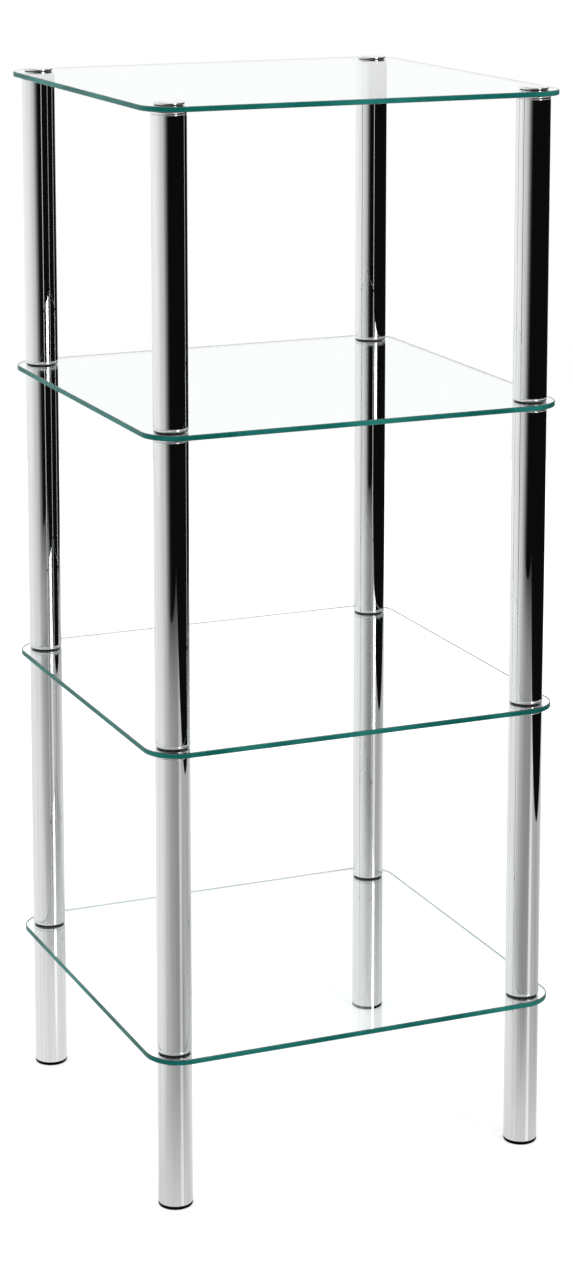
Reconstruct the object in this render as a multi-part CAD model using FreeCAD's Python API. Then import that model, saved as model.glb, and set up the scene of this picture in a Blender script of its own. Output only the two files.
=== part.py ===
import FreeCAD, Part
import math
import os

# Glass shelving unit: four square glass shelves carried by four posts of chromed tube.
# Each post is a stack of tubes. Flanged inserts close the tube ends, and studs through the
# drilled glass screw one insert to the next, with black washers between metal and glass.
# Millimetres. Origin on the floor under the middle of the shelves, +X to the right,
# +Y to the back, +Z up.

Vector = FreeCAD.Vector

# Glass shelves
SHELF_WIDTH = 410.0
SHELF_DEPTH = 410.0
GLASS_THICKNESS = 5.0
GLASS_CORNER_RADIUS = 33.0
GLASS_EDGE_ROUNDING = 0.8
GLASS_HOLE_DIAMETER = 12.0
POST_INSET = 26.0

# Post tubes
TUBE_DIAMETER = 32.0
TUBE_WALL = 1.2
TUBE_END_ROUNDING = 0.4
UPRIGHT_LENGTH = 279.0
LEG_LENGTH = 138.0

# Flanged inserts pressed into the tube ends
FLANGE_THICKNESS = 2.5
FLANGE_ROUNDING = 0.9
FLANGE_TUBE_SIDE_ROUNDING = 1.0
INSERT_DEPTH = 18.0
INSERT_LEAD = 1.0
GRIP_GROOVE_COUNT = 4
GRIP_GROOVE_WIDTH = 1.6
GRIP_GROOVE_DEPTH = 0.8
PRESS_CLEARANCE = 0.03

# Studs, the shanks of the top caps and their tapped bores
STUD_DIAMETER = 8.0
STUD_END_CHAMFER = 0.8
STUD_ENGAGEMENT = 13.0
THREAD_CLEARANCE = 0.05

# Black washers; the one above the glass shows and has a sleeve that lines the hole in the glass,
# the one below is narrower and hides behind the flange
UPPER_WASHER_DIAMETER = 31.0
UPPER_WASHER_THICKNESS = 1.0
UPPER_WASHER_ROUNDING = 0.3
LOWER_WASHER_DIAMETER = 24.0
LOWER_WASHER_THICKNESS = 0.8
LOWER_WASHER_ROUNDING = 0.2
WASHER_BORE_CLEARANCE = 0.2
SLEEVE_CLEARANCE = 0.2
SLEEVE_END_GAP = 0.4

# Caps on the top shelf
CAP_DIAMETER = 28.0
CAP_THICKNESS = 2.0
CAP_TOP_ROUNDING = 0.8
CAP_LOWER_ROUNDING = 0.3
CAP_WASHER_DIAMETER = 26.0
CAP_WASHER_THICKNESS = 0.5
CAP_WASHER_ROUNDING = 0.15

# Feet: black plugs with a rounded head and a finned, hollow shank
FOOT_HEAD_HEIGHT = 3.5
FOOT_FLOOR_ROUNDING = 1.8
FOOT_UPPER_ROUNDING = 0.3
FOOT_SHANK_LENGTH = 17.0
FOOT_SHANK_WALL = 2.0
FOOT_SHANK_LEAD = 1.2
FIN_COUNT = 4
FIN_DEPTH = 1.8
FIN_THICKNESS = 1.1
FIN_SLOPE = 0.5

# Sizes worked out from the ones above
TUBE_RADIUS = TUBE_DIAMETER / 2
TUBE_BORE_RADIUS = TUBE_RADIUS - TUBE_WALL
PLUG_RADIUS = TUBE_BORE_RADIUS - PRESS_CLEARANCE
STUD_RADIUS = STUD_DIAMETER / 2
TAPPED_RADIUS = STUD_RADIUS + THREAD_CLEARANCE
WASHER_BORE_RADIUS = STUD_RADIUS + WASHER_BORE_CLEARANCE
SLEEVE_RADIUS = GLASS_HOLE_DIAMETER / 2 - SLEEVE_CLEARANCE
SLEEVE_LENGTH = GLASS_THICKNESS - SLEEVE_END_GAP
JOINT_ABOVE_GLASS = UPPER_WASHER_THICKNESS + FLANGE_THICKNESS
JOINT_BELOW_GLASS = LOWER_WASHER_THICKNESS + FLANGE_THICKNESS
SHELF_PITCH = GLASS_THICKNESS + JOINT_ABOVE_GLASS + UPRIGHT_LENGTH + JOINT_BELOW_GLASS

# The names count from the floor up
SHELVES = ("bottom", "lower", "upper", "top")
TIERS = ("lower", "middle", "upper")
CORNERS = {
    "front_left": (-1, -1),
    "front_right": (1, -1),
    "back_left": (-1, 1),
    "back_right": (1, 1),
}


def shelf_underside(index):
    return FOOT_HEAD_HEIGHT + LEG_LENGTH + JOINT_BELOW_GLASS + index * SHELF_PITCH


def post_axis(corner):
    side, depth = CORNERS[corner]
    return side * (SHELF_WIDTH / 2 - POST_INSET), depth * (SHELF_DEPTH / 2 - POST_INSET)


def rounded_wire(corners, to_space):
    """Closed wire through corners (u, v, rounding). A rounding above zero is a tangent arc."""
    places = [Vector(u, v, 0) for u, v, rounding in corners]
    runs = []
    for i, (u, v, rounding) in enumerate(corners):
        corner = places[i]
        if rounding == 0:
            runs.append([corner])
            continue
        back = (places[i - 1] - corner).normalize()
        ahead = (places[(i + 1) % len(places)] - corner).normalize()
        half_angle = back.getAngle(ahead) / 2
        reach = rounding / math.tan(half_angle)
        depth = rounding / math.sin(half_angle) - rounding
        middle = (back + ahead).normalize()
        runs.append([corner + back * reach, corner + middle * depth, corner + ahead * reach])
    runs = [[to_space(p.x, p.y) for p in run] for run in runs]
    edges = []
    for i, run in enumerate(runs):
        if len(run) == 3:
            edges.append(Part.Arc(*run).toShape())
        start, end = run[-1], runs[(i + 1) % len(runs)][0]
        edges.append(Part.makeLine(start, end))
    return Part.Wire(edges)


def turned(profile):
    """Solid of revolution about Z from a closed profile of (radius, height, rounding)."""
    wire = rounded_wire(profile, lambda radius, height: Vector(radius, 0, height))
    return Part.Face(wire).revolve(Vector(0, 0, 0), Vector(0, 0, 1), 360)


def standing_at(shape, corner, height):
    x, y = post_axis(corner)
    return shape.translated(Vector(x, y, height))


def upside_down(shape):
    return shape.rotated(Vector(0, 0, 0), Vector(1, 0, 0), 180)


def glass_shelf():
    """Glass plate with rounded corners, softened edges and a drilled hole for each post."""
    half_width, half_depth = SHELF_WIDTH / 2, SHELF_DEPTH / 2
    corners = [
        (-half_width, -half_depth, GLASS_CORNER_RADIUS),
        (half_width, -half_depth, GLASS_CORNER_RADIUS),
        (half_width, half_depth, GLASS_CORNER_RADIUS),
        (-half_width, half_depth, GLASS_CORNER_RADIUS),
    ]
    outline = rounded_wire(corners, lambda x, y: Vector(x, y, 0))
    plate = Part.Face(outline).extrude(Vector(0, 0, GLASS_THICKNESS))
    rims = [e for e in plate.Edges if e.BoundBox.ZLength < GLASS_THICKNESS / 2]
    plate = plate.makeFillet(GLASS_EDGE_ROUNDING, rims)
    for corner in CORNERS:
        drill = Part.makeCylinder(GLASS_HOLE_DIAMETER / 2, GLASS_THICKNESS)
        plate = plate.cut(standing_at(drill, corner, 0))
    return plate


def post_tube(length):
    return turned([
        (TUBE_BORE_RADIUS, 0, 0),
        (TUBE_RADIUS, 0, TUBE_END_ROUNDING),
        (TUBE_RADIUS, length, TUBE_END_ROUNDING),
        (TUBE_BORE_RADIUS, length, 0),
    ])


def flanged_insert():
    """Tapped plug that hangs in a tube from its flange; the tube's end is at height zero."""
    profile = [
        (TAPPED_RADIUS, -INSERT_DEPTH, 0),
        (PLUG_RADIUS - INSERT_LEAD, -INSERT_DEPTH, 0),
        (PLUG_RADIUS, INSERT_LEAD - INSERT_DEPTH, 0),
    ]
    groove_step = (INSERT_DEPTH - INSERT_LEAD) / (GRIP_GROOVE_COUNT + 1)
    for i in range(GRIP_GROOVE_COUNT):
        middle = INSERT_LEAD - INSERT_DEPTH + (i + 1) * groove_step
        profile += [
            (PLUG_RADIUS, middle - GRIP_GROOVE_WIDTH / 2, 0),
            (PLUG_RADIUS - GRIP_GROOVE_DEPTH, middle, 0),
            (PLUG_RADIUS, middle + GRIP_GROOVE_WIDTH / 2, 0),
        ]
    profile += [
        (PLUG_RADIUS, 0, 0),
        (TUBE_RADIUS, 0, FLANGE_TUBE_SIDE_ROUNDING),
        (TUBE_RADIUS, FLANGE_THICKNESS, FLANGE_ROUNDING),
        (TAPPED_RADIUS, FLANGE_THICKNESS, 0),
    ]
    return turned(profile)


def joining_stud():
    """Stud that reaches into the inserts above and below a shelf; its foot is at height zero."""
    grip = LOWER_WASHER_THICKNESS + GLASS_THICKNESS + UPPER_WASHER_THICKNESS
    length = grip + 2 * STUD_ENGAGEMENT
    return turned([
        (0, 0, 0),
        (STUD_RADIUS - STUD_END_CHAMFER, 0, 0),
        (STUD_RADIUS, STUD_END_CHAMFER, 0),
        (STUD_RADIUS, length - STUD_END_CHAMFER, 0),
        (STUD_RADIUS - STUD_END_CHAMFER, length, 0),
        (0, length, 0),
    ])


def flat_washer():
    return turned([
        (WASHER_BORE_RADIUS, 0, 0),
        (LOWER_WASHER_DIAMETER / 2, 0, LOWER_WASHER_ROUNDING),
        (LOWER_WASHER_DIAMETER / 2, LOWER_WASHER_THICKNESS, LOWER_WASHER_ROUNDING),
        (WASHER_BORE_RADIUS, LOWER_WASHER_THICKNESS, 0),
    ])


def sleeved_washer(diameter, thickness, rounding):
    """Washer that lies on the glass, at height zero, with its sleeve down in the hole."""
    return turned([
        (WASHER_BORE_RADIUS, -SLEEVE_LENGTH, 0),
        (SLEEVE_RADIUS, -SLEEVE_LENGTH, 0),
        (SLEEVE_RADIUS, 0, 0),
        (diameter / 2, 0, rounding),
        (diameter / 2, thickness, rounding),
        (WASHER_BORE_RADIUS, thickness, 0),
    ])


def top_cap():
    """Round cap with its own threaded shank; the underside of its head is at height zero."""
    shank = CAP_WASHER_THICKNESS + GLASS_THICKNESS + LOWER_WASHER_THICKNESS + STUD_ENGAGEMENT
    return turned([
        (0, -shank, 0),
        (STUD_RADIUS - STUD_END_CHAMFER, -shank, 0),
        (STUD_RADIUS, STUD_END_CHAMFER - shank, 0),
        (STUD_RADIUS, 0, 0),
        (CAP_DIAMETER / 2, 0, CAP_LOWER_ROUNDING),
        (CAP_DIAMETER / 2, CAP_THICKNESS, CAP_TOP_ROUNDING),
        (0, CAP_THICKNESS, 0),
    ])


def foot_plug():
    """Foot with its flat face on the floor, a rounded head and fins that grip the leg's bore."""
    shank_radius = PLUG_RADIUS - FIN_DEPTH
    top = FOOT_HEAD_HEIGHT + FOOT_SHANK_LENGTH
    profile = [
        (0, 0, 0),
        (TUBE_RADIUS, 0, FOOT_FLOOR_ROUNDING),
        (TUBE_RADIUS, FOOT_HEAD_HEIGHT, FOOT_UPPER_ROUNDING),
        (shank_radius, FOOT_HEAD_HEIGHT, 0),
    ]
    fin_step = FOOT_SHANK_LENGTH / (FIN_COUNT + 1)
    for i in range(FIN_COUNT):
        root = FOOT_HEAD_HEIGHT + (i + 1) * fin_step
        profile += [
            (shank_radius, root - FIN_THICKNESS, 0),
            (PLUG_RADIUS, root - FIN_THICKNESS - FIN_SLOPE, 0),
            (PLUG_RADIUS, root - FIN_SLOPE, 0),
            (shank_radius, root, 0),
        ]
    profile += [
        (shank_radius, top - FOOT_SHANK_LEAD, 0),
        (shank_radius - FOOT_SHANK_LEAD, top, 0),
        (shank_radius - FOOT_SHANK_WALL, top, 0),
        (shank_radius - FOOT_SHANK_WALL, FOOT_HEAD_HEIGHT, 0),
        (0, FOOT_HEAD_HEIGHT, 0),
    ]
    return turned(profile)


def write_node(name, *shapes):
    shape = shapes[0] if len(shapes) == 1 else Part.makeCompound(shapes)
    shape.exportStep(os.path.join("parts", name + ".step"))


def write_group(name, shape, height):
    """One copy of the shape at every post, all in one node."""
    write_node(name, *[standing_at(shape, corner, height) for corner in CORNERS])


def write_one_per_post(name, shape, height):
    """One copy of the shape at every post, each in a node of its own."""
    for corner in CORNERS:
        write_node(name + "_" + corner, standing_at(shape, corner, height))


def write_shelves():
    plate = glass_shelf()
    for i, shelf in enumerate(SHELVES):
        write_node("glass_shelf_" + shelf, plate.translated(Vector(0, 0, shelf_underside(i))))


def write_posts():
    """Tubes, and the inserts in both ends of each upright and in the upper end of each leg."""
    insert = flanged_insert()
    write_one_per_post("leg", post_tube(LEG_LENGTH), FOOT_HEAD_HEIGHT)
    write_group("inserts_leg_top_end", insert, FOOT_HEAD_HEIGHT + LEG_LENGTH)
    upright = post_tube(UPRIGHT_LENGTH)
    for i, tier in enumerate(TIERS):
        start = shelf_underside(i) + GLASS_THICKNESS + JOINT_ABOVE_GLASS
        write_one_per_post("upright_" + tier, upright, start)
        write_group("inserts_upright_" + tier + "_bottom_end", upside_down(insert), start)
        write_group("inserts_upright_" + tier + "_top_end", insert, start + UPRIGHT_LENGTH)


def write_shelf_joints():
    """Washers and studs where the posts pass through the glass."""
    flat = flat_washer()
    sleeved = sleeved_washer(UPPER_WASHER_DIAMETER, UPPER_WASHER_THICKNESS, UPPER_WASHER_ROUNDING)
    stud = joining_stud()
    for i, shelf in enumerate(SHELVES):
        underside = shelf_underside(i)
        write_group("washers_below_shelf_" + shelf, flat, underside - LOWER_WASHER_THICKNESS)
        if shelf != "top":
            write_group("washers_above_shelf_" + shelf, sleeved, underside + GLASS_THICKNESS)
            stud_foot = underside - LOWER_WASHER_THICKNESS - STUD_ENGAGEMENT
            write_group("studs_through_shelf_" + shelf, stud, stud_foot)


def write_caps():
    glass_top = shelf_underside(SHELVES.index("top")) + GLASS_THICKNESS
    washer = sleeved_washer(CAP_WASHER_DIAMETER, CAP_WASHER_THICKNESS, CAP_WASHER_ROUNDING)
    write_group("washers_under_caps", washer, glass_top)
    write_one_per_post("cap", top_cap(), glass_top + CAP_WASHER_THICKNESS)


os.makedirs("parts", exist_ok=True)
write_shelves()
write_posts()
write_shelf_joints()
write_caps()
write_one_per_post("foot", foot_plug(), 0)
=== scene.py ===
import math

import bmesh
import bpy
from mathutils import Matrix, Vector


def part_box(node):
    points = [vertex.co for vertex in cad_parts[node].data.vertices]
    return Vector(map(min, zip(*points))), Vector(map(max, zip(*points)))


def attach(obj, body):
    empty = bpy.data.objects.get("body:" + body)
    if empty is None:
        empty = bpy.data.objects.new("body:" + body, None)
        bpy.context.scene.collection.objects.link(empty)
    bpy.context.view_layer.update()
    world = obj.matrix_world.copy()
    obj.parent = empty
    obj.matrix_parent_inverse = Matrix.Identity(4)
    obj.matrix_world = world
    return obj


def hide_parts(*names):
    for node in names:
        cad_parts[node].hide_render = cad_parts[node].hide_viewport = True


# Glass shelving unit: four clear glass shelves on posts of chromed tube.
# Metres, in the part's own frame: +X to the right, +Y to the back, +Z up, floor at zero.

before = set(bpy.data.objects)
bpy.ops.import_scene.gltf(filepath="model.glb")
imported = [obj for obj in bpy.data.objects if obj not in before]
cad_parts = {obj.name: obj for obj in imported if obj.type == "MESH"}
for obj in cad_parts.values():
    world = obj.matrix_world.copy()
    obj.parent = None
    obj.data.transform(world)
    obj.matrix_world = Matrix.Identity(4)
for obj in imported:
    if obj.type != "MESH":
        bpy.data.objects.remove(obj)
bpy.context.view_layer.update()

MM = 0.001
BODY = "root"
SHELVES = ("bottom", "lower", "upper", "top")
TIERS = ("lower", "middle", "upper")
CORNERS = {
    "front_left": (-1, -1),
    "front_right": (1, -1),
    "back_left": (-1, 1),
    "back_right": (1, 1),
}

# Sizes of the sections that are turned or swept
POST_INSET = 26 * MM
TUBE_RADIUS = 16 * MM
TUBE_WALL = 1.2 * MM
TUBE_END_ROUNDING = 0.4 * MM
FLANGE_ROUNDING = 0.9 * MM
FLANGE_TUBE_SIDE_ROUNDING = 1 * MM
PLUG_RADIUS = 14.77 * MM
PLUG_LEAD = 1 * MM
GRIP_GROOVE_COUNT = 4
GRIP_GROOVE_WIDTH = 1.6 * MM
GRIP_GROOVE_DEPTH = 0.8 * MM
STUD_RADIUS = 4 * MM
STUD_END_RADIUS = 3.2 * MM
THREAD_PITCH = 1.25 * MM
THREAD_DEPTH = 0.65 * MM
THREAD_ROOT_SHARE = 0.25
THREAD_CREST_SHARE = 0.125
TAPPED_RADIUS = 4.05 * MM
TAPPED_LEAD_RADIUS = 4.35 * MM
UPPER_WASHER_RADIUS = 15.5 * MM
UPPER_WASHER_ROUNDING = 0.3 * MM
LOWER_WASHER_RADIUS = 12 * MM
LOWER_WASHER_ROUNDING = 0.2 * MM
WASHER_BORE_RADIUS = 4.2 * MM
SLEEVE_RADIUS = 5.8 * MM
CAP_RADIUS = 14 * MM
CAP_TOP_ROUNDING = 0.8 * MM
CAP_LOWER_ROUNDING = 0.3 * MM
CAP_WASHER_RADIUS = 13 * MM
CAP_WASHER_ROUNDING = 0.15 * MM
FOOT_FLOOR_ROUNDING = 1.8 * MM
FOOT_UPPER_ROUNDING = 0.3 * MM
FOOT_SHANK_RADIUS = 12.97 * MM
FOOT_SHANK_WALL = 2 * MM
FOOT_SHANK_LEAD = 1.2 * MM
FIN_COUNT = 4
FIN_THICKNESS = 1.1 * MM
FIN_SLOPE = 0.5 * MM
GLASS_CORNER_RADIUS = 33 * MM
GLASS_EDGE_ROUNDING = 0.8 * MM
GLASS_FACE_INSET = 1 * MM
GLASS_HOLE_RADIUS = 6 * MM

# Fineness of the meshes
ROUND_STEPS = 144
INSERT_STEPS = 48
CAP_STEPS = 96
STUD_STEPS = 36
THREAD_ROWS = 6
ARC_STEPS = 5
SUPPORT = 0.12 * MM
SUPPORTED_RUN = 4 * SUPPORT
GLASS_CORNER_STEPS = 28
GLASS_HOLE_STEPS = 64
MERGE_DISTANCE = 0.002 * MM
LEVEL_NORMAL = 0.999

# Places read from the frame
glass_low, glass_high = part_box("glass_shelf_top")
GLASS_THICKNESS = glass_high.z - glass_low.z
POST_X = glass_high.x - POST_INSET
POST_Y = glass_high.y - POST_INSET


def heights(node):
    """Lowest and highest level of a node."""
    low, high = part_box(node)
    return low.z, high.z


def post_axis(corner):
    side, depth = CORNERS[corner]
    return side * POST_X, depth * POST_Y


# Node tree helpers

def set_inputs(tree, node, inputs):
    """Links or sets a node's inputs, given by name or number."""
    for name, value in inputs.items():
        if isinstance(value, bpy.types.NodeSocket):
            tree.links.new(value, node.inputs[name])
        else:
            node.inputs[name].default_value = value


def add(tree, kind, inputs=None, **settings):
    """New node with its settings made and its inputs set or linked."""
    made = tree.nodes.new(kind)
    for name, value in settings.items():
        setattr(made, name, value)
    set_inputs(tree, made, inputs or {})
    return made


def math_node(tree, operation, first, second=0.0):
    return add(tree, "ShaderNodeMath", {0: first, 1: second}, operation=operation).outputs[0]


def less(tree, first, second):
    return math_node(tree, "SUBTRACT", first, second)


def times(tree, first, second):
    return math_node(tree, "MULTIPLY", first, second)


def new_shape_tree(name, inputs):
    """Geometry tree with named inputs; returns the tree and its input sockets by name."""
    tree = bpy.data.node_groups.new(name, "GeometryNodeTree")
    tree.is_modifier = True
    for label, kind in inputs:
        tree.interface.new_socket(label, in_out="INPUT", socket_type="NodeSocket" + kind)
    tree.interface.new_socket("Geometry", in_out="OUTPUT", socket_type="NodeSocketGeometry")
    entry = tree.nodes.new("NodeGroupInput")
    return tree, entry.outputs


def end_shape_tree(tree, geometry, finish):
    realized = add(tree, "GeometryNodeRealizeInstances", {"Geometry": geometry})
    dressed = add(tree, "GeometryNodeSetMaterial", {
        "Geometry": realized.outputs[0],
        "Material": finish,
    })
    add(tree, "NodeGroupOutput", {"Geometry": dressed.outputs[0]})
    return tree


# Shape trees

TURNED_INPUTS = [
    ("Section", "Geometry"),
    ("Turning steps", "Int"),
    ("Path radius", "Float"),
    ("Copies", "Int"),
    ("Spread", "Vector"),
    ("Place", "Vector"),
    ("Finish", "Material"),
]
THREAD_INPUTS = [
    ("Turns", "Int"),
    ("Rows per turn", "Int"),
    ("Length", "Float"),
    ("Pitch", "Float"),
    ("Outer radius", "Float"),
    ("Depth", "Float"),
    ("End radius", "Float"),
    ("Outward", "Float"),
    ("Start", "Float"),
]
PLATE_INPUTS = [
    ("Edge section", "Geometry"),
    ("Face width", "Float"),
    ("Face depth", "Float"),
    ("Thickness", "Float"),
    ("Face corner radius", "Float"),
    ("Corner steps", "Int"),
    ("Hole radius", "Float"),
    ("Hole steps", "Int"),
    ("Hole spacing X", "Float"),
    ("Hole spacing Y", "Float"),
    ("Underside", "Vector"),
    ("Finish", "Material"),
]


def point_position(tree):
    """Position of a shape's points, as sockets X, Y and Z."""
    position = add(tree, "GeometryNodeInputPosition").outputs[0]
    return add(tree, "ShaderNodeSeparateXYZ", {0: position}).outputs


def placed_at(tree, shape, position):
    made = add(tree, "GeometryNodeSetPosition", {"Geometry": shape, "Position": position})
    return made.outputs[0]


def moved_by(tree, shape, offset):
    made = add(tree, "GeometryNodeTransform", {"Geometry": shape, "Translation": offset})
    return made.outputs[0]


def copied_to(tree, points, shape):
    made = add(tree, "GeometryNodeInstanceOnPoints", {"Points": points, "Instance": shape})
    return made.outputs[0]


def joined(tree, *shapes):
    whole = add(tree, "GeometryNodeJoinGeometry")
    for shape in shapes:
        tree.links.new(shape, whole.inputs[0])
    return whole.outputs[0]


def sealed(tree, shape):
    """Shape with the points along its seams merged."""
    made = add(tree, "GeometryNodeMergeByDistance", {"Geometry": shape, "Distance": MERGE_DISTANCE})
    return made.outputs[0]


def circle(tree, steps, radius):
    made = add(tree, "GeometryNodeCurvePrimitiveCircle", {
        "Resolution": steps,
        "Radius": radius,
    }, mode="RADIUS")
    return made.outputs[0]


def profile(tree, section, path_radius):
    """Drawn half section laid flat for a sweep: outwards from the path, and heights downwards."""
    curve = add(tree, "GeometryNodeMeshToCurve", {"Mesh": section})
    drawn = point_position(tree)
    flat = add(tree, "ShaderNodeCombineXYZ", {
        "X": less(tree, drawn["X"], path_radius),
        "Y": times(tree, drawn["Z"], -1.0),
    })
    return placed_at(tree, curve.outputs[0], flat.outputs[0])


def swept(tree, path, section):
    """Profile swept along a level path."""
    upright = add(tree, "GeometryNodeSetCurveNormal", {"Curve": path}, mode="Z_UP")
    made = add(tree, "GeometryNodeCurveToMesh", {
        "Curve": upright.outputs[0],
        "Profile Curve": section,
    })
    return made.outputs[0]


def turn_section(tree, given):
    """Drawn half section turned round its axis."""
    radius = given["Path radius"]
    path = circle(tree, given["Turning steps"], radius)
    return swept(tree, path, profile(tree, given["Section"], radius))


def wind_thread(tree, given):
    """Screw thread: a grid wound round the axis along the helix, with a lead at each end."""
    turns = math_node(tree, "ADD", given["Turns"], 1.0)
    rows = times(tree, turns, given["Rows per turn"])
    grid = add(tree, "GeometryNodeMeshGrid", {
        "Size X": 1.0,
        "Size Y": 1.0,
        "Vertices X": math_node(tree, "ADD", given["Turning steps"], 1.0),
        "Vertices Y": math_node(tree, "ADD", rows, 1.0),
    })
    place = point_position(tree)
    round_share = math_node(tree, "ADD", place["X"], 0.5)
    length_share = math_node(tree, "ADD", place["Y"], 0.5)
    turn = less(tree, times(tree, length_share, turns), 1.0)
    height = times(tree, math_node(tree, "ADD", turn, round_share), given["Pitch"])
    height = math_node(tree, "MAXIMUM", height, 0.0)
    height = math_node(tree, "MINIMUM", height, given["Length"])

    phase = math_node(tree, "FRACT", math_node(tree, "ADD", turn, given["Start"]))
    from_root = math_node(tree, "ABSOLUTE", times(tree, less(tree, phase, 0.5), 2.0))
    flank = add(tree, "ShaderNodeMapRange", {
        "Value": from_root,
        "From Min": THREAD_ROOT_SHARE,
        "From Max": 1.0 - THREAD_CREST_SHARE,
    }).outputs[0]
    groove = times(tree, less(tree, 1.0, flank), given["Depth"])
    radius = less(tree, given["Outer radius"], groove)
    from_end = math_node(tree, "MINIMUM", height, less(tree, given["Length"], height))
    lead = math_node(tree, "ADD", times(tree, given["End radius"], given["Outward"]), from_end)
    radius = math_node(tree, "MINIMUM", times(tree, radius, given["Outward"]), lead)
    radius = times(tree, radius, given["Outward"])

    angle = times(tree, round_share, 2 * math.pi)
    wound = add(tree, "ShaderNodeCombineXYZ", {
        "X": times(tree, math_node(tree, "COSINE", angle), radius),
        "Y": times(tree, math_node(tree, "SINE", angle), radius),
        "Z": height,
    })
    return placed_at(tree, grid.outputs[0], wound.outputs[0])


def stand_at_posts(tree, given, shape):
    """Closes the shape's seams and stands a copy at each post asked for."""
    smooth = add(tree, "GeometryNodeSetShadeSmooth", {"Geometry": sealed(tree, shape)})
    index = add(tree, "GeometryNodeInputIndex").outputs[0]
    column = math_node(tree, "MODULO", index, 2.0)
    row = math_node(tree, "FLOOR", math_node(tree, "DIVIDE", index, 2.0))
    corner = add(tree, "ShaderNodeCombineXYZ", {
        "X": less(tree, times(tree, column, 2.0), 1.0),
        "Y": less(tree, times(tree, row, 2.0), 1.0),
    })
    offset = add(tree, "ShaderNodeVectorMath", {
        0: corner.outputs[0],
        1: given["Spread"],
    }, operation="MULTIPLY")
    place = add(tree, "ShaderNodeVectorMath", {
        0: offset.outputs[0],
        1: given["Place"],
    }, operation="ADD")
    posts = add(tree, "GeometryNodePoints", {
        "Count": given["Copies"],
        "Position": place.outputs[0],
    })
    copies = copied_to(tree, posts.outputs[0], smooth.outputs[0])
    return end_shape_tree(tree, copies, given["Finish"])


def turned_tree():
    tree, given = new_shape_tree("turned_at_posts", TURNED_INPUTS)
    return stand_at_posts(tree, given, turn_section(tree, given))


def threaded_tree():
    """A turned section joined to the ends of a screw thread on the same axis."""
    tree, given = new_shape_tree("threaded_at_posts", TURNED_INPUTS + THREAD_INPUTS)
    whole = joined(tree, turn_section(tree, given), wind_thread(tree, given))
    return stand_at_posts(tree, given, whole)


def glass_tree():
    """Glass plate: a drawn edge swept round its outline, two drilled faces and the hole walls."""
    tree, given = new_shape_tree("drilled_glass_plate", PLATE_INPUTS)
    sheet = add(tree, "GeometryNodeCurvePrimitiveQuadrilateral", {
        "Width": given["Face width"],
        "Height": given["Face depth"],
    })
    rounded = add(tree, "GeometryNodeFilletCurve", {
        "Curve": sheet.outputs[0],
        "Count": given["Corner steps"],
        "Radius": given["Face corner radius"],
    }, mode="POLY")
    outline = rounded.outputs[0]
    edge = swept(tree, outline, profile(tree, given["Edge section"], 0.0))

    hole_places = add(tree, "GeometryNodeMeshGrid", {
        "Size X": given["Hole spacing X"],
        "Size Y": given["Hole spacing Y"],
        "Vertices X": 2,
        "Vertices Y": 2,
    })
    bore = circle(tree, given["Hole steps"], given["Hole radius"])
    bores = copied_to(tree, hole_places.outputs[0], bore)
    holes = add(tree, "GeometryNodeRealizeInstances", {"Geometry": bores}).outputs[0]
    depth = add(tree, "ShaderNodeCombineXYZ", {"Y": times(tree, given["Thickness"], -1.0)})
    wall_line = add(tree, "GeometryNodeCurvePrimitiveLine", {"End": depth.outputs[0]})
    walls = swept(tree, holes, wall_line.outputs[0])

    lower_face = add(tree, "GeometryNodeFillCurve", {
        "Curve": joined(tree, holes, outline),
    }, mode="TRIANGLES").outputs[0]
    lift = add(tree, "ShaderNodeCombineXYZ", {"Z": given["Thickness"]})
    upper_face = moved_by(tree, lower_face, lift.outputs[0])
    shell = sealed(tree, joined(tree, edge, walls, lower_face, upper_face))
    return end_shape_tree(tree, moved_by(tree, shell, given["Underside"]), given["Finish"])


# Sections

def rounded_section(corners):
    """Points through corners (radius, height, rounding), with each round corner as an arc."""
    places = [Vector((radius, height)) for radius, height, _ in corners]
    roundings = [rounding for _, _, rounding in corners]
    points = []
    for i, (corner, rounding) in enumerate(zip(places, roundings)):
        if rounding == 0:
            points.append(corner)
            continue
        back = (places[i - 1] - corner).normalized()
        ahead = (places[(i + 1) % len(places)] - corner).normalized()
        half_angle = back.angle(ahead) / 2
        centre = corner + (back + ahead).normalized() * (rounding / math.sin(half_angle))
        start = corner + back * (rounding / math.tan(half_angle)) - centre
        turn = math.copysign(math.pi - 2 * half_angle, back.y * ahead.x - back.x * ahead.y)
        for step in range(ARC_STEPS + 1):
            points.append(centre + Matrix.Rotation(turn * step / ARC_STEPS, 2) @ start)
    return points


def supported(points, closed):
    """The same section with a point near each end of a long run, so that it shades straight."""
    result = []
    runs = len(points) if closed else len(points) - 1
    for i in range(len(points)):
        start = points[i]
        result.append(start)
        if i >= runs:
            continue
        run = points[(i + 1) % len(points)] - start
        if run.length > SUPPORTED_RUN:
            nudge = run.normalized() * SUPPORT
            result += [start + nudge, start + run - nudge]
    return result


def drawing(name, chains, closed):
    """Section of one or more chains of corners, as a mesh of edges in the XZ plane."""
    points = []
    edges = []
    for corners in chains:
        first = len(points)
        points += supported(rounded_section(corners), closed)
        last = len(points) - 1
        edges += [(i, i + 1) for i in range(first, last)]
        if closed:
            edges.append((last, first))
    mesh = bpy.data.meshes.new(name)
    mesh.from_pydata([(p.x, 0, p.y) for p in points], edges, [])
    return mesh


def upside_down(corners):
    return [(radius, -height, rounding) for radius, height, rounding in reversed(corners)]


def raised_by(corners, lift):
    return [(radius, height + lift, rounding) for radius, height, rounding in corners]


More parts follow.
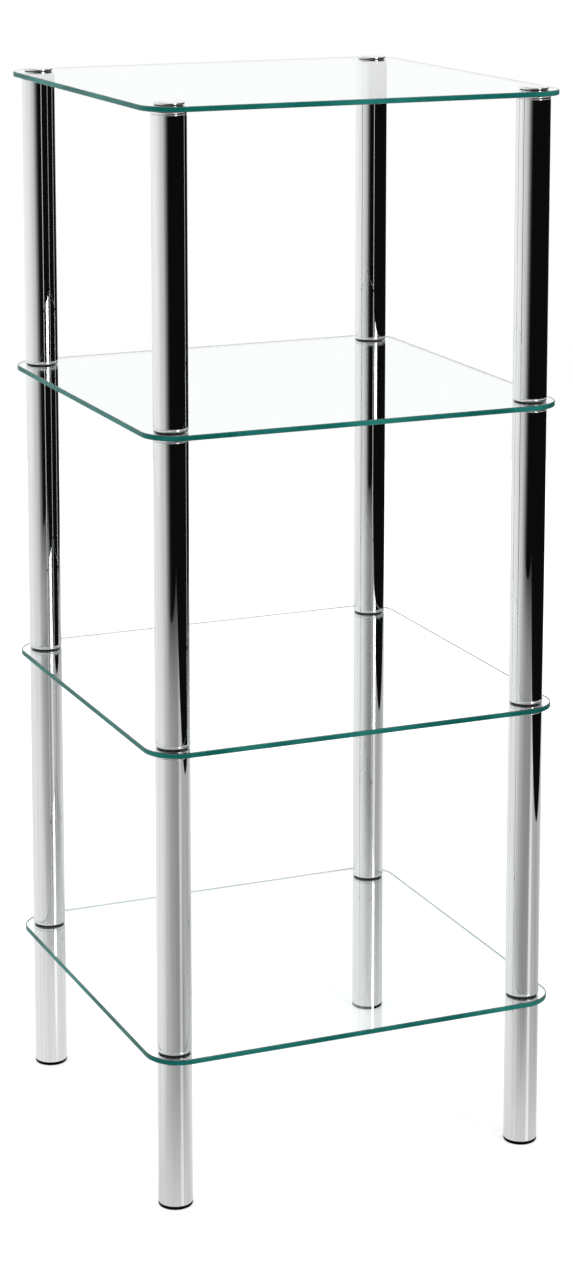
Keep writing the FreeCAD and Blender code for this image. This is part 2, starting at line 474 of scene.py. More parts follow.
def shaped(name, mesh, tree, inputs):
    """Piece made by a shape tree from a drawn section, as a plain mesh with its faces outwards."""
    piece = bpy.data.objects.new(name, mesh)
    bpy.context.scene.collection.objects.link(piece)
    modifier = piece.modifiers.new(tree.name, "NODES")
    modifier.node_group = tree
    identifiers = {item.name: item.identifier
                   for item in tree.interface.items_tree if item.in_out == "INPUT"}
    for label, value in inputs.items():
        modifier[identifiers[label]] = value
    depsgraph = bpy.context.evaluated_depsgraph_get()
    plain = bpy.data.meshes.new_from_object(piece.evaluated_get(depsgraph))
    piece.modifiers.clear()
    piece.data = plain
    plain.name = name
    faces = bmesh.new()
    faces.from_mesh(plain)
    bmesh.ops.recalc_face_normals(faces, faces=faces.faces)
    faces.to_mesh(plain)
    faces.free()
    return piece


TURNED = turned_tree()
THREADED = threaded_tree()
GLASS_PLATE = glass_tree()


def post_inputs(steps, finish, height, corner):
    """Inputs for one corner's post, or for all four posts if no corner is named."""
    x, y = post_axis(corner) if corner else (0, 0)
    return {
        "Turning steps": steps,
        "Path radius": TUBE_RADIUS,
        "Copies": 1 if corner else 4,
        "Spread": (0, 0, 0) if corner else (POST_X, POST_Y, 0),
        "Place": (x, y, height),
        "Finish": finish,
    }


def turned(name, corners, closed, finish, height, corner=None):
    """Turned piece; heights in its section count from the height given."""
    section = drawing(name, [corners], closed)
    return shaped(name, section, TURNED, post_inputs(ROUND_STEPS, finish, height, corner))


def threaded(name, chains, finish, height, length, outer, end, outward, steps, corner=None):
    """Turned piece whose open sections end at a thread, which starts at the height given.

    All threads start from the same level, so that a stud's thread lies in that of its insert.
    """
    section = drawing(name, chains, False)
    inputs = post_inputs(steps, finish, height, corner)
    inputs.update({
        "Turns": math.ceil(length / THREAD_PITCH),
        "Rows per turn": THREAD_ROWS,
        "Length": length,
        "Pitch": THREAD_PITCH,
        "Outer radius": outer,
        "Depth": THREAD_DEPTH,
        "End radius": end,
        "Outward": outward,
        "Start": height / THREAD_PITCH % 1,
    })
    return shaped(name, section, THREADED, inputs)


def fitted(piece, slot, *nodes):
    """The piece stands for these nodes of the frame and moves with it."""
    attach(piece, BODY)
    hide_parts(*nodes)


# Finishes: colours are linear, scales count per metre, pairs are a lowest and a highest value

CHROME_DULL = (0.73, 0.74, 0.74)
CHROME_BRIGHT = (0.91, 0.915, 0.915)
CHROME_LINES = (1500, 1500, 8)
CHROME_BANDS = (330, 330, 2.5)
CHROME_HAZE_SCALE = 22.0
CHROME_LINE_ROUGHNESS = (0.004, 0.018)
CHROME_HAZE_ROUGHNESS = (0.0, 0.012)
CHROME_LINE_STRENGTH = 0.08
CHROME_LINE_HEIGHT = 0.02 * MM

GLASS_IOR = 1.52
GLASS_TINT = (0.10, 0.62, 0.56)
GLASS_TINT_DENSITY = 6.0
GLASS_SHADOW = (0.95, 0.97, 0.965)
GLASS_EDGE_SLOPES = (0.3, 0.6)
GLASS_EDGE_DEEP = (0.002, 0.132, 0.106)
GLASS_EDGE_GREEN = (0.005, 0.190, 0.157)
# Paler edge patches: painted light, standing in for light carried inside the glass
GLASS_EDGE_PALE = (0.050, 0.420, 0.365)
GLASS_EDGE_GLINT = (0.10, 0.85, 0.76)
GLASS_EDGE_ROUGHNESS = (0.40, 0.52)
GLASS_EDGE_GRIND_SCALE = 900.0
GLASS_EDGE_GRIND_STRETCH = (1, 1, 0.2)
GLASS_EDGE_PALE_SCALE = 18.0
GLASS_EDGE_PALE_SHARE = (0.0, 0.5)
GLASS_EDGE_PALE_NOISE = (0.4, 0.7)
GLASS_FROSTING_OUTSIDE = 0.60
GLASS_FROSTING_INSIDE = 0.95

GRAIN_HEIGHT = 0.05 * MM
RUBBER_DARK = (0.006, 0.006, 0.007)
RUBBER_LIGHT = (0.016, 0.016, 0.017)
RUBBER_GRAIN_SCALE = 2600.0
RUBBER_GRAIN_STRENGTH = 0.25
RUBBER_ROUGHNESS = (0.42, 0.62)
PLASTIC_DARK = (0.001, 0.001, 0.001)
PLASTIC_SCUFFED = (0.004, 0.004, 0.004)
PLASTIC_GRAIN_SCALE = 1800.0
PLASTIC_GRAIN_STRENGTH = 0.2
PLASTIC_SCUFF_SCALE = 160.0
PLASTIC_SCUFF_STRETCH = (1, 1, 3)
PLASTIC_ROUGHNESS = (0.55, 0.7)
PLASTIC_SPECULAR_LEVEL = 0.01
ZINC_DULL = (0.55, 0.56, 0.55)
ZINC_BRIGHT = (0.68, 0.69, 0.70)
ZINC_CLOUD_SCALE = 420.0
ZINC_ROUGHNESS = (0.24, 0.42)

# Coarse or fine noise, the part of its range that is used, and the colour sockets of a Mix node
FEW_OCTAVES = 2.0
MANY_OCTAVES = 4.0
NOISE_MIDDLE = (0.3, 0.7)
WHOLE = (0.0, 1.0)
MIX_FIRST = 6
MIX_SECOND = 7
MIX_RESULT = 2
WHITE = (1, 1, 1)


def new_finish(name):
    material = bpy.data.materials.new(name)
    material.use_nodes = True
    tree = material.node_tree
    surface = tree.nodes["Principled BSDF"]
    return material, tree, surface


def grain(tree, scale, stretch=(1, 1, 1), detail=3.0):
    """Noise in the part's own frame."""
    place = add(tree, "ShaderNodeTexCoord").outputs["Object"]
    mapped = add(tree, "ShaderNodeMapping", {"Vector": place, "Scale": stretch})
    noise = add(tree, "ShaderNodeTexNoise", {
        "Vector": mapped.outputs[0],
        "Scale": scale,
        "Detail": detail,
        "Roughness": 0.5,
    })
    return noise.outputs["Fac"]


def spread_to(tree, value, target, source=NOISE_MIDDLE):
    """Stretches a range of a value, by default the middle of a noise, to another range."""
    return add(tree, "ShaderNodeMapRange", {
        "Value": value,
        "From Min": source[0],
        "From Max": source[1],
        "To Min": target[0],
        "To Max": target[1],
    }).outputs[0]


def tinted(tree, share, first, second):
    """Colour between two, which are a colour or a socket each."""
    inputs = {"Factor": share}
    for socket, colour in ((MIX_FIRST, first), (MIX_SECOND, second)):
        inputs[socket] = colour if isinstance(colour, bpy.types.NodeSocket) else (*colour, 1)
    return add(tree, "ShaderNodeMix", inputs, data_type="RGBA").outputs[MIX_RESULT]


def mixed_shader(tree, share, first, second):
    """Two shaders mixed; all of the second one where the share is one."""
    return add(tree, "ShaderNodeMixShader", {
        0: share,
        1: first.outputs[0],
        2: second.outputs[0],
    })


def raised(tree, height, strength, distance):
    return add(tree, "ShaderNodeBump", {
        "Height": height,
        "Strength": strength,
        "Distance": distance,
    }).outputs[0]


def polished_chrome():
    """Chromed steel: mirror bright, with faint lengthwise polishing lines and some haze."""
    material, tree, surface = new_finish("polished_chrome")
    lines = grain(tree, 1.0, CHROME_LINES, FEW_OCTAVES)
    bands = grain(tree, 1.0, CHROME_BANDS, FEW_OCTAVES)
    haze = grain(tree, CHROME_HAZE_SCALE, detail=MANY_OCTAVES)
    streaks = times(tree, math_node(tree, "ADD", lines, bands), 0.5)
    line_roughness = spread_to(tree, lines, CHROME_LINE_ROUGHNESS)
    haze_roughness = spread_to(tree, haze, CHROME_HAZE_ROUGHNESS)
    set_inputs(tree, surface, {
        "Metallic": 1.0,
        "Base Color": tinted(tree, spread_to(tree, streaks, WHOLE), CHROME_DULL, CHROME_BRIGHT),
        "Roughness": math_node(tree, "ADD", line_roughness, haze_roughness),
        "Normal": raised(tree, lines, CHROME_LINE_STRENGTH, CHROME_LINE_HEIGHT),
    })
    return material


def clear_glass():
    """Float glass: clear through its faces, green along its length, with a ground edge."""
    material, tree, surface = new_finish("clear_float_glass")
    geometry = add(tree, "ShaderNodeNewGeometry").outputs
    normal = add(tree, "ShaderNodeSeparateXYZ", {0: geometry["Normal"]})
    upright = less(tree, 1.0, math_node(tree, "ABSOLUTE", normal.outputs["Z"]))
    rim = spread_to(tree, upright, WHOLE, GLASS_EDGE_SLOPES)
    outside = less(tree, 1.0, geometry["Backfacing"])
    edge = times(tree, rim, outside)
    ground = grain(tree, GLASS_EDGE_GRIND_SCALE, GLASS_EDGE_GRIND_STRETCH)
    # Paler patches along the edge are painted light, standing in for light carried inside the glass
    pale = grain(tree, GLASS_EDGE_PALE_SCALE, detail=1.0)
    pale = spread_to(tree, pale, GLASS_EDGE_PALE_SHARE, GLASS_EDGE_PALE_NOISE)
    green = tinted(tree, spread_to(tree, ground, WHOLE), GLASS_EDGE_DEEP, GLASS_EDGE_GREEN)
    green = tinted(tree, pale, green, GLASS_EDGE_PALE)
    frosting = spread_to(tree, outside, (GLASS_FROSTING_INSIDE, GLASS_FROSTING_OUTSIDE), WHOLE)
    set_inputs(tree, surface, {
        "IOR": GLASS_IOR,
        "Base Color": tinted(tree, edge, WHITE, green),
        "Specular Tint": tinted(tree, edge, WHITE, GLASS_EDGE_GLINT),
        "Transmission Weight": less(tree, 1.0, times(tree, rim, frosting)),
        "Roughness": times(tree, edge, spread_to(tree, ground, GLASS_EDGE_ROUGHNESS)),
    })
    inside = add(tree, "ShaderNodeVolumeAbsorption", {
        "Color": (*GLASS_TINT, 1),
        "Density": GLASS_TINT_DENSITY,
    })
    lamp_ray = add(tree, "ShaderNodeLightPath").outputs["Is Shadow Ray"]
    passing = add(tree, "ShaderNodeBsdfTransparent", {"Color": (*GLASS_SHADOW, 1)})
    mixed = mixed_shader(tree, lamp_ray, surface, passing)
    set_inputs(tree, tree.nodes["Material Output"], {
        "Surface": mixed.outputs[0],
        "Volume": inside.outputs[0],
    })
    return material


def black_rubber():
    """Washers: matt black rubber with a fine grain."""
    material, tree, surface = new_finish("black_rubber")
    fine = grain(tree, RUBBER_GRAIN_SCALE, detail=FEW_OCTAVES)
    set_inputs(tree, surface, {
        "Base Color": tinted(tree, fine, RUBBER_DARK, RUBBER_LIGHT),
        "Roughness": spread_to(tree, fine, RUBBER_ROUGHNESS),
        "Normal": raised(tree, fine, RUBBER_GRAIN_STRENGTH, GRAIN_HEIGHT),
    })
    return material


def moulded_plastic():
    """Feet: black moulded plastic with a fine grain and faint scuffs."""
    material, tree, surface = new_finish("black_moulded_plastic")
    fine = grain(tree, PLASTIC_GRAIN_SCALE, detail=FEW_OCTAVES)
    scuffs = grain(tree, PLASTIC_SCUFF_SCALE, PLASTIC_SCUFF_STRETCH, MANY_OCTAVES)
    set_inputs(tree, surface, {
        "Specular IOR Level": PLASTIC_SPECULAR_LEVEL,
        "Base Color": tinted(tree, scuffs, PLASTIC_DARK, PLASTIC_SCUFFED),
        "Roughness": spread_to(tree, scuffs, PLASTIC_ROUGHNESS),
        "Normal": raised(tree, fine, PLASTIC_GRAIN_STRENGTH, GRAIN_HEIGHT),
    })
    return material


def zinc_plate():
    """Studs: bright zinc plate with a faint cloudy lustre."""
    material, tree, surface = new_finish("zinc_plate")
    cloud = grain(tree, ZINC_CLOUD_SCALE, detail=MANY_OCTAVES)
    set_inputs(tree, surface, {
        "Metallic": 1.0,
        "Base Color": tinted(tree, cloud, ZINC_DULL, ZINC_BRIGHT),
        "Roughness": spread_to(tree, cloud, ZINC_ROUGHNESS),
    })
    return material
CHROME = polished_chrome()
GLASS = clear_glass()
RUBBER = black_rubber()
PLASTIC = moulded_plastic()
ZINC = zinc_plate()


# Pieces

def build_shelf(shelf):
    node = "glass_shelf_" + shelf
    low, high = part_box(node)
    edge = [
        (0, GLASS_THICKNESS, 0),
        (GLASS_FACE_INSET, GLASS_THICKNESS, GLASS_EDGE_ROUNDING),
        (GLASS_FACE_INSET, 0, GLASS_EDGE_ROUNDING),
        (0, 0, 0),
    ]
    name = "clear_" + node
    piece = shaped(name, drawing(name, [edge], False), GLASS_PLATE, {
        "Face width": high.x - low.x - 2 * GLASS_FACE_INSET,
        "Face depth": high.y - low.y - 2 * GLASS_FACE_INSET,
        "Thickness": GLASS_THICKNESS,
        "Face corner radius": GLASS_CORNER_RADIUS - GLASS_FACE_INSET,
        "Corner steps": GLASS_CORNER_STEPS,
        "Hole radius": GLASS_HOLE_RADIUS,
        "Hole steps": GLASS_HOLE_STEPS,
        "Hole spacing X": 2 * POST_X,
        "Hole spacing Y": 2 * POST_Y,
        "Underside": (0, 0, low.z),
        "Finish": GLASS,
    })
    for face in piece.data.polygons:
        face.use_smooth = abs(face.normal.z) < LEVEL_NORMAL
    fitted(piece, "clear_glass", node)


def build_tube(node, corner):
    low, high = heights(node)
    length = high - low
    section = [
        (TUBE_RADIUS - TUBE_WALL, 0, 0),
        (TUBE_RADIUS, 0, TUBE_END_ROUNDING),
        (TUBE_RADIUS, length, TUBE_END_ROUNDING),
        (TUBE_RADIUS - TUBE_WALL, length, 0),
    ]
    fitted(turned("chrome_" + node, section, True, CHROME, low, corner), "chrome_tube", node)


def insert_section(depth, flange):
    """Tapped plug under its flange; the tube's end is at height zero."""
    section = [
        (TAPPED_LEAD_RADIUS, -depth, 0),
        (PLUG_RADIUS - PLUG_LEAD, -depth, 0),
        (PLUG_RADIUS, PLUG_LEAD - depth, 0),
    ]
    groove_step = (depth - PLUG_LEAD) / (GRIP_GROOVE_COUNT + 1)
    for i in range(GRIP_GROOVE_COUNT):
        middle = PLUG_LEAD - depth + (i + 1) * groove_step
        section += [
            (PLUG_RADIUS, middle - GRIP_GROOVE_WIDTH / 2, 0),
            (PLUG_RADIUS - GRIP_GROOVE_DEPTH, middle, 0),
            (PLUG_RADIUS, middle + GRIP_GROOVE_WIDTH / 2, 0),
        ]
    return section + [
        (PLUG_RADIUS, 0, 0),
        (TUBE_RADIUS, 0, FLANGE_TUBE_SIDE_ROUNDING),
        (TUBE_RADIUS, flange, FLANGE_ROUNDING),
        (TAPPED_LEAD_RADIUS, flange, 0),
    ]


def build_inserts(node, tube):
    """Inserts of one end of the tubes; the tube named is one of those that they close."""
    low, high = heights(node)
    tube_low, tube_high = heights(tube)
    if high > tube_high:
        section = insert_section(tube_high - low, high - tube_high)
        tube_end = tube_high
    else:
        section = upside_down(insert_section(high - tube_low, tube_low - low))
        tube_end = tube_low
    section = raised_by(section, tube_end - low)
    name = "chrome_" + node
    piece = threaded(name, [section], CHROME, low, high - low,
                     TAPPED_RADIUS, TAPPED_LEAD_RADIUS, -1, INSERT_STEPS)
    fitted(piece, "chrome_fitting", node)


def build_studs(node):
    low, high = heights(node)
    length = high - low
    ends = [
        [(0, 0, 0), (STUD_END_RADIUS, 0, 0)],
        [(STUD_END_RADIUS, length, 0), (0, length, 0)],
    ]
    piece = threaded("zinc_" + node, ends, ZINC, low, length,
                     STUD_RADIUS, STUD_END_RADIUS, 1, STUD_STEPS)
    fitted(piece, "zinc_plated_steel", node)


def build_flat_washers(node):
    low, high = heights(node)
    section = [
        (WASHER_BORE_RADIUS, 0, 0),
        (LOWER_WASHER_RADIUS, 0, LOWER_WASHER_ROUNDING),
        (LOWER_WASHER_RADIUS, high - low, LOWER_WASHER_ROUNDING),
        (WASHER_BORE_RADIUS, high - low, 0),
    ]
    fitted(turned("rubber_" + node, section, True, RUBBER, low), "black_rubber", node)


def build_sleeved_washers(node, shelf, radius, rounding):
    """Washers on the glass, with a sleeve down in the hole."""
    low, high = heights(node)
    glass_top = heights("glass_shelf_" + shelf)[1]
    section = [
        (WASHER_BORE_RADIUS, low - glass_top, 0),
        (SLEEVE_RADIUS, low - glass_top, 0),
        (SLEEVE_RADIUS, 0, 0),
        (radius, 0, rounding),
        (radius, high - glass_top, rounding),
        (WASHER_BORE_RADIUS, high - glass_top, 0),
    ]
    fitted(turned("rubber_" + node, section, True, RUBBER, glass_top), "black_rubber", node)


def build_cap(corner):
    node = "cap_" + corner
    low, high = heights(node)
    underside = heights("washers_under_caps")[1]
    shank = underside - low
    tip = [(0, 0, 0), (STUD_END_RADIUS, 0, 0)]
    head = [
        (STUD_END_RADIUS, shank, 0),
        (CAP_RADIUS, shank, CAP_LOWER_ROUNDING),
        (CAP_RADIUS, high - low, CAP_TOP_ROUNDING),
        (0, high - low, 0),
    ]
    piece = threaded("chrome_" + node, [tip, head], CHROME, low, shank,
                     STUD_RADIUS, STUD_END_RADIUS, 1, CAP_STEPS, corner)
    fitted(piece, "chrome_fitting", node)


def build_foot(corner):
    node = "foot_" + corner
    low, high = heights(node)
    head = heights("leg_" + corner)[0]
    section = [
        (0, 0, 0),
        (TUBE_RADIUS, 0, FOOT_FLOOR_ROUNDING),
        (TUBE_RADIUS, head, FOOT_UPPER_ROUNDING),
        (FOOT_SHANK_RADIUS, head, 0),
    ]
    fin_step = (high - head) / (FIN_COUNT + 1)
    for i in range(FIN_COUNT):
        root = head + (i + 1) * fin_step
        section += [
            (FOOT_SHANK_RADIUS, root - FIN_THICKNESS, 0),
            (PLUG_RADIUS, root - FIN_THICKNESS - FIN_SLOPE, 0),
            (PLUG_RADIUS, root - FIN_SLOPE, 0),
            (FOOT_SHANK_RADIUS, root, 0),
        ]
    section += [
        (FOOT_SHANK_RADIUS, high - FOOT_SHANK_LEAD, 0),
        (FOOT_SHANK_RADIUS - FOOT_SHANK_LEAD, high, 0),
        (FOOT_SHANK_RADIUS - FOOT_SHANK_WALL, high, 0),
        (FOOT_SHANK_RADIUS - FOOT_SHANK_WALL, head, 0),
        (0, head, 0),
    ]
    fitted(turned("moulded_" + node, section, False, PLASTIC, low, corner), "black_plastic", node)


for shelf in SHELVES:
    build_shelf(shelf)
    build_flat_washers("washers_below_shelf_" + shelf)
    if shelf != "top":
        node = "washers_above_shelf_" + shelf
        build_sleeved_washers(node, shelf, UPPER_WASHER_RADIUS, UPPER_WASHER_ROUNDING)
        build_studs("studs_through_shelf_" + shelf)
build_sleeved_washers("washers_under_caps", "top", CAP_WASHER_RADIUS, CAP_WASHER_ROUNDING)
for corner in CORNERS:
    build_cap(corner)
    build_foot(corner)
    build_tube("leg_" + corner, corner)
    for tier in TIERS:
        build_tube("upright_" + tier + "_" + corner, corner)
build_inserts("inserts_leg_top_end", "leg_front_left")
for tier in TIERS:
    for end in ("bottom_end", "top_end"):
        build_inserts("inserts_upright_" + tier + "_" + end, "upright_" + tier + "_front_left")


# Camera at the photograph's viewing angle

CAMERA_PLACE = Vector((-1.1387, -2.7010, 1.2919))
CAMERA_YAW = math.radians(23.017)
CAMERA_PITCH = math.radians(-9.715)
CAMERA_SENSOR_WIDTH = 36.0
CAMERA_LENS = 86.887
CAMERA_SHIFT_UP = -0.25

camera_data = bpy.data.cameras.new("camera")
camera_data.sensor_width = CAMERA_SENSOR_WIDTH
camera_data.lens = CAMERA_LENS
camera_data.shift_y = CAMERA_SHIFT_UP
camera = bpy.data.objects.new("camera", camera_data)
camera.location = CAMERA_PLACE
camera.rotation_euler = (math.pi / 2 + CAMERA_PITCH, 0, -CAMERA_YAW)
bpy.context.scene.collection.objects.link(camera)
bpy.context.scene.camera = camera


# Stage: white floor, a room beyond it painted light and dark for the metal, soft lamps

FLOOR_RIGHT = 1.2
FLOOR_LEFT = 3.0
FLOOR_FRONT = 2.3
FLOOR_BACK = 3.0
FLOOR_WHITE = (0.80, 0.80, 0.80)
# Painted light: the floor round the object glows this bright in polished metal
FLOOR_NEAR_PAINTED_LIGHT_IN_METAL = (0.90, 0.90, 0.90)
FLOOR_NEAR_FADE = (0.0, 0.62)
FLOOR_FAR_FADE = (1.7, 2.6)
FLOOR_TOP_UP = (0.45, 0.80)
FLOOR_TOP_UP_FADE = (0.5, 2.0)
FLOOR_SHEEN = 0.8
FLOOR_SHEEN_IOR = 1.45
FLOOR_SHEEN_ROUGHNESS = 0.26
ROOM_RADIUS = 40.0
ROOM_HEIGHT = 26.0
ROOM_DEPTH = 5 * MM
ROOM_STEPS = 96
WALL_SHADE_HEIGHTS = (2.5, 4.5)
CEILING_SLOPES = (0.6, 0.8)
CEILING_SHADE = 0.12
WORLD_LIGHT_LEFT_TO_RIGHT = (1.10, 0.35)
LEFT_TO_RIGHT = (-1.0, 1.0)
VIEW_AXIS = Vector((math.sin(CAMERA_YAW), math.cos(CAMERA_YAW), 0))
VIEW_RIGHT = Vector((math.cos(CAMERA_YAW), -math.sin(CAMERA_YAW), 0))
VIEW_HEADING = math.atan2(-VIEW_AXIS.y, -VIEW_AXIS.x)
BOUNCES = 64
CLEAR_BOUNCES = 32
# Painted light and shade by bearing, in degrees: zero is the camera's side, right is positive
ROOM_SHADES = [
    (-180, 1.0), (-110, 1.0), (-87, 0.94), (-68, 0.82), (-52, 0.70), (-36, 0.58), (-22, 0.24),
    (-8, 0.02), (0, 0.004), (100, 0.004), (145, 0.006), (162, 0.03), (173, 1.0),
]
FLOOR_SHADES = [
    (-180, 0.95), (-110, 0.95), (-87, 0.90), (-68, 0.85), (-52, 0.80), (-36, 0.58), (-22, 0.49),
    (-7, 0.43), (7, 0.37), (22, 0.34), (36, 0.34), (52, 0.52), (68, 0.56), (87, 0.48),
    (110, 0.6), (140, 0.9),
]


def stage_mesh(name, points, faces, material):
    mesh = bpy.data.meshes.new(name)
    mesh.from_pydata(points, [], faces)
    mesh.materials.append(material)
    thing = bpy.data.objects.new(name, mesh)
    bpy.context.scene.collection.objects.link(thing)
    return thing


def new_stage_finish(name):
    material = bpy.data.materials.new(name)
    material.use_nodes = True
    material.node_tree.nodes.clear()
    return material, material.node_tree


def stage_place(tree):
    """Place on the stage, as sockets X, Y and Z."""
    place = add(tree, "ShaderNodeTexCoord").outputs["Object"]
    return add(tree, "ShaderNodeSeparateXYZ", {0: place}).outputs


def shade_by_bearing(tree, shades):
    """Painted light and shade: a grey that changes with the bearing from the object."""
    place = stage_place(tree)
    heading = math_node(tree, "ARCTAN2", place["Y"], place["X"])
    turn = math_node(tree, "DIVIDE", less(tree, heading, VIEW_HEADING), 2 * math.pi)
    # The ramp starts half a turn from the camera's side; a whole turn keeps the sum above zero
    share = math_node(tree, "FRACT", math_node(tree, "ADD", turn, 1.5))
    ramp = add(tree, "ShaderNodeValToRGB", {0: share})
    elements = ramp.color_ramp.elements
    while len(elements) < len(shades):
        elements.new(1.0)
    for element, (bearing, shade) in zip(elements, shades):
        element.position = (bearing + 180) / 360
        element.color = (shade, shade, shade, 1)
    return ramp.outputs["Color"]


def fade_outwards(tree, distances):
    """Zero up to the first distance from the object, one from the second on."""
    place = add(tree, "ShaderNodeTexCoord").outputs["Object"]
    distance = add(tree, "ShaderNodeVectorMath", {0: place}, operation="LENGTH")
    return add(tree, "ShaderNodeMapRange", {
        "Value": distance.outputs["Value"],
        "From Min": distances[0],
        "From Max": distances[1],
    }, interpolation_type="SMOOTHSTEP").outputs[0]


def at_least(tree, count, least):
    """One where a whole count reaches another, otherwise zero."""
    return math_node(tree, "GREATER_THAN", count, less(tree, least, 0.5))


def metal_view(tree):
    """One for a ray off metal, also by way of a shelf; zero to the eye and through glass alone."""
    rays = add(tree, "ShaderNodeLightPath").outputs
    reflections = rays["Glossy Depth"]
    once = less(tree, 1.0, at_least(tree, reflections, 2.0))
    by_shelf = at_least(tree, reflections, rays["Transmission Depth"])
    metal = math_node(tree, "MAXIMUM", once, by_shelf)
    return times(tree, at_least(tree, reflections, 1.0), metal)


def floor_finish():
    """White to the eye and through glass, with soft shadows; painted light and shade by bearing in
    metal.
    """
    material, tree = new_stage_finish("white_floor")
    rays = add(tree, "ShaderNodeLightPath").outputs
    in_metal = metal_view(tree)
    paper = add(tree, "ShaderNodeBsdfDiffuse", {"Color": (*FLOOR_WHITE, 1)})
    # In metal the floor glows with painted light and shade in place of lit paper: near the object,
    # by bearing, then as the room
    shades = shade_by_bearing(tree, FLOOR_SHADES)
    shades = tinted(tree, fade_outwards(tree, FLOOR_NEAR_FADE), FLOOR_NEAR_PAINTED_LIGHT_IN_METAL, shades)
    far_shades = shade_by_bearing(tree, ROOM_SHADES)
    shades = tinted(tree, fade_outwards(tree, FLOOR_FAR_FADE), shades, far_shades)
    shaded = add(tree, "ShaderNodeEmission", {"Color": shades})
    surface = mixed_shader(tree, in_metal, paper, shaded)

    mirrored = add(tree, "ShaderNodeBsdfGlossy", {"Roughness": FLOOR_SHEEN_ROUGHNESS})
    # Through glass the sheen is a painted white reflection in place of the reflected room
    white = add(tree, "ShaderNodeEmission", {"Color": (*WHITE, 1)})
    through_glass = at_least(tree, rays["Transmission Depth"], 1.0)
    sheen = mixed_shader(tree, through_glass, mirrored, white)
    facing = add(tree, "ShaderNodeFresnel", {"IOR": FLOOR_SHEEN_IOR}).outputs[0]
    shine = times(tree, times(tree, facing, FLOOR_SHEEN), in_metal)
    lit = mixed_shader(tree, shine, surface, sheen)

    seen = math_node(tree, "MAXIMUM", rays["Is Camera Ray"], rays["Is Transmission Ray"])
    seen = less(tree, seen, times(tree, seen, in_metal))
    top_up = spread_to(tree, fade_outwards(tree, FLOOR_TOP_UP_FADE), FLOOR_TOP_UP, WHOLE)
    glow = add(tree, "ShaderNodeEmission", {
        "Color": (*WHITE, 1),
        "Strength": times(tree, seen, top_up),
    })
    both = add(tree, "ShaderNodeAddShader", {0: lit.outputs[0], 1: glow.outputs[0]})
    add(tree, "ShaderNodeOutputMaterial", {"Surface": both.outputs[0]})
    return material


def room_finish():
    """The room in metal: painted light on the left, painted shade on the right; clear to the eye
    and in glass.
    """
    material, tree = new_stage_finish("studio_room")
    # The room glows with painted light and shade by bearing, seen only in metal; it is no lamp
    glow = add(tree, "ShaderNodeEmission", {"Color": shade_by_bearing(tree, ROOM_SHADES)})
    clear = add(tree, "ShaderNodeBsdfTransparent")
    low = spread_to(tree, stage_place(tree)["Z"], (1.0, 0.0), WALL_SHADE_HEIGHTS)
    reflections = add(tree, "ShaderNodeLightPath").outputs["Glossy Depth"]
    shaded = math_node(tree, "MAXIMUM", low, at_least(tree, reflections, 2.0))
    mixed = mixed_shader(tree, times(tree, metal_view(tree), shaded), clear, glow)
    add(tree, "ShaderNodeOutputMaterial", {"Surface": mixed.outputs[0]})
    return material


def build_floor():
    corners = [
        (FLOOR_RIGHT, -FLOOR_FRONT),
        (FLOOR_RIGHT, FLOOR_BACK),
        (-FLOOR_LEFT, FLOOR_BACK),
        (-FLOOR_LEFT, -FLOOR_FRONT),
    ]
    points = [VIEW_RIGHT * across + VIEW_AXIS * along for across, along in corners]
    stage_mesh("white_floor", points, [range(4)], floor_finish())


def build_room():
    """Floor and walls of the room, out of the camera's sight."""
    points = []
    for height in (-ROOM_DEPTH, ROOM_HEIGHT):
        for i in range(ROOM_STEPS):
            angle = 2 * math.pi * i / ROOM_STEPS
            points.append((ROOM_RADIUS * math.cos(angle), ROOM_RADIUS * math.sin(angle), height))
    faces = [range(ROOM_STEPS)]
    for i in range(ROOM_STEPS):
        ahead = (i + 1) % ROOM_STEPS
        faces.append((ahead, i, ROOM_STEPS + i, ROOM_STEPS + ahead))
    room = stage_mesh("studio_room", points, faces, room_finish())
    room.visible_camera = False
    room.visible_diffuse = False
    room.visible_shadow = False


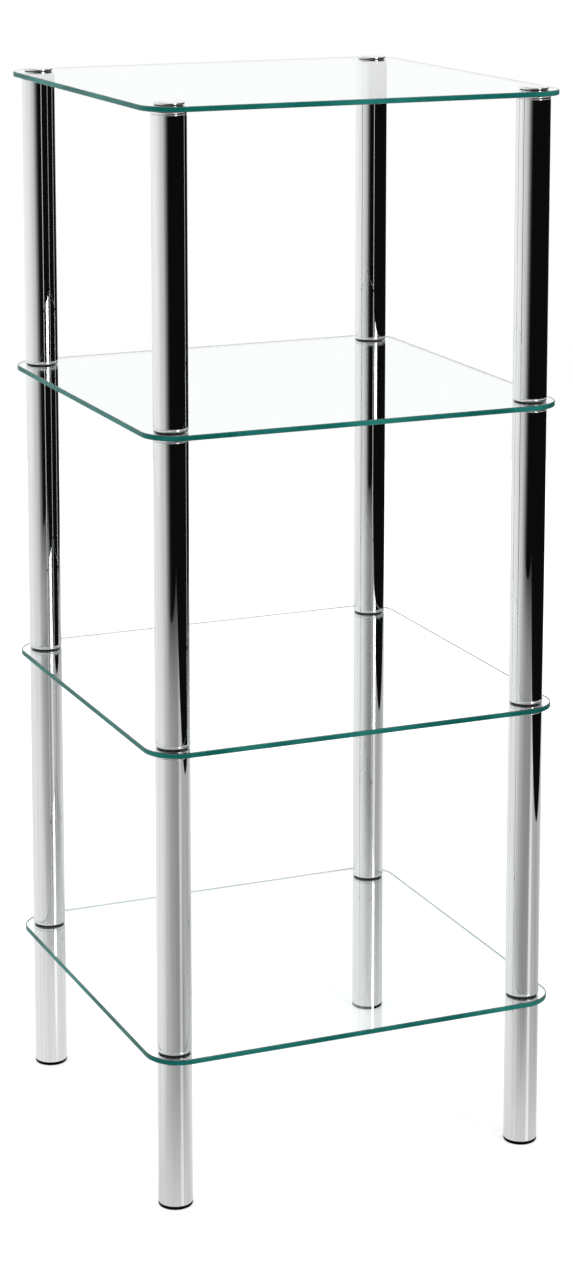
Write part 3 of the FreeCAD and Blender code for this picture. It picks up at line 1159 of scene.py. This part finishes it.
def soft_lamp(name, bearing, distance, height, width, tall, radiance, aim):
    """Rectangular lamp at a bearing from the camera's side, aimed at a height over the middle."""
    data = bpy.data.lights.new(name, "AREA")
    data.shape = "RECTANGLE"
    data.size = width
    data.size_y = tall
    data.energy = radiance * math.pi * width * tall
    lamp = bpy.data.objects.new(name, data)
    heading = VIEW_HEADING + math.radians(bearing)
    lamp.location = (distance * math.cos(heading), distance * math.sin(heading), height)
    lamp.rotation_euler = (Vector((0, 0, aim)) - lamp.location).to_track_quat("-Z", "Y").to_euler()
    lamp.visible_camera = False
    lamp.visible_transmission = False
    bpy.context.scene.collection.objects.link(lamp)


def build_world():
    """White behind the object, to the eye and in metal and glass; a plain soft light on it."""
    world = bpy.data.worlds.new("studio")
    world.use_nodes = True
    tree = world.node_tree
    tree.nodes.clear()
    rays = add(tree, "ShaderNodeLightPath").outputs
    reflected = math_node(tree, "MAXIMUM", rays["Is Glossy Ray"], rays["Is Transmission Ray"])
    shown = math_node(tree, "MAXIMUM", rays["Is Camera Ray"], reflected)
    direction = add(tree, "ShaderNodeTexCoord").outputs["Generated"]
    across = add(tree, "ShaderNodeVectorMath", {
        0: direction,
        1: VIEW_RIGHT,
    }, operation="DOT_PRODUCT").outputs["Value"]
    light = add(tree, "ShaderNodeBackground", {
        "Color": (*WHITE, 1),
        "Strength": spread_to(tree, across, WORLD_LIGHT_LEFT_TO_RIGHT, LEFT_TO_RIGHT),
    })
    height = add(tree, "ShaderNodeSeparateXYZ", {0: direction}).outputs["Z"]
    overhead = times(tree, metal_view(tree), spread_to(tree, height, WHOLE, CEILING_SLOPES))
    white = add(tree, "ShaderNodeBackground", {
        "Color": (*WHITE, 1),
        "Strength": spread_to(tree, overhead, (1.0, CEILING_SHADE), WHOLE),
    })
    both = mixed_shader(tree, shown, light, white)
    add(tree, "ShaderNodeOutputWorld", {"Surface": both.outputs[0]})
    bpy.context.scene.world = world


build_floor()
build_room()
build_world()
soft_lamp("strip_lamp", bearing=46, distance=4.0, height=1.6,
          width=1.2, tall=1.3, radiance=6.0, aim=0.5)
soft_lamp("overhead_lamp", bearing=20, distance=0.8, height=2.8,
          width=2.2, tall=2.2, radiance=1.2, aim=0.0)

scene = bpy.context.scene
scene.view_settings.view_transform = "Standard"
scene.cycles.max_bounces = BOUNCES
scene.cycles.glossy_bounces = BOUNCES
scene.cycles.transmission_bounces = BOUNCES
scene.cycles.transparent_max_bounces = CLEAR_BOUNCES
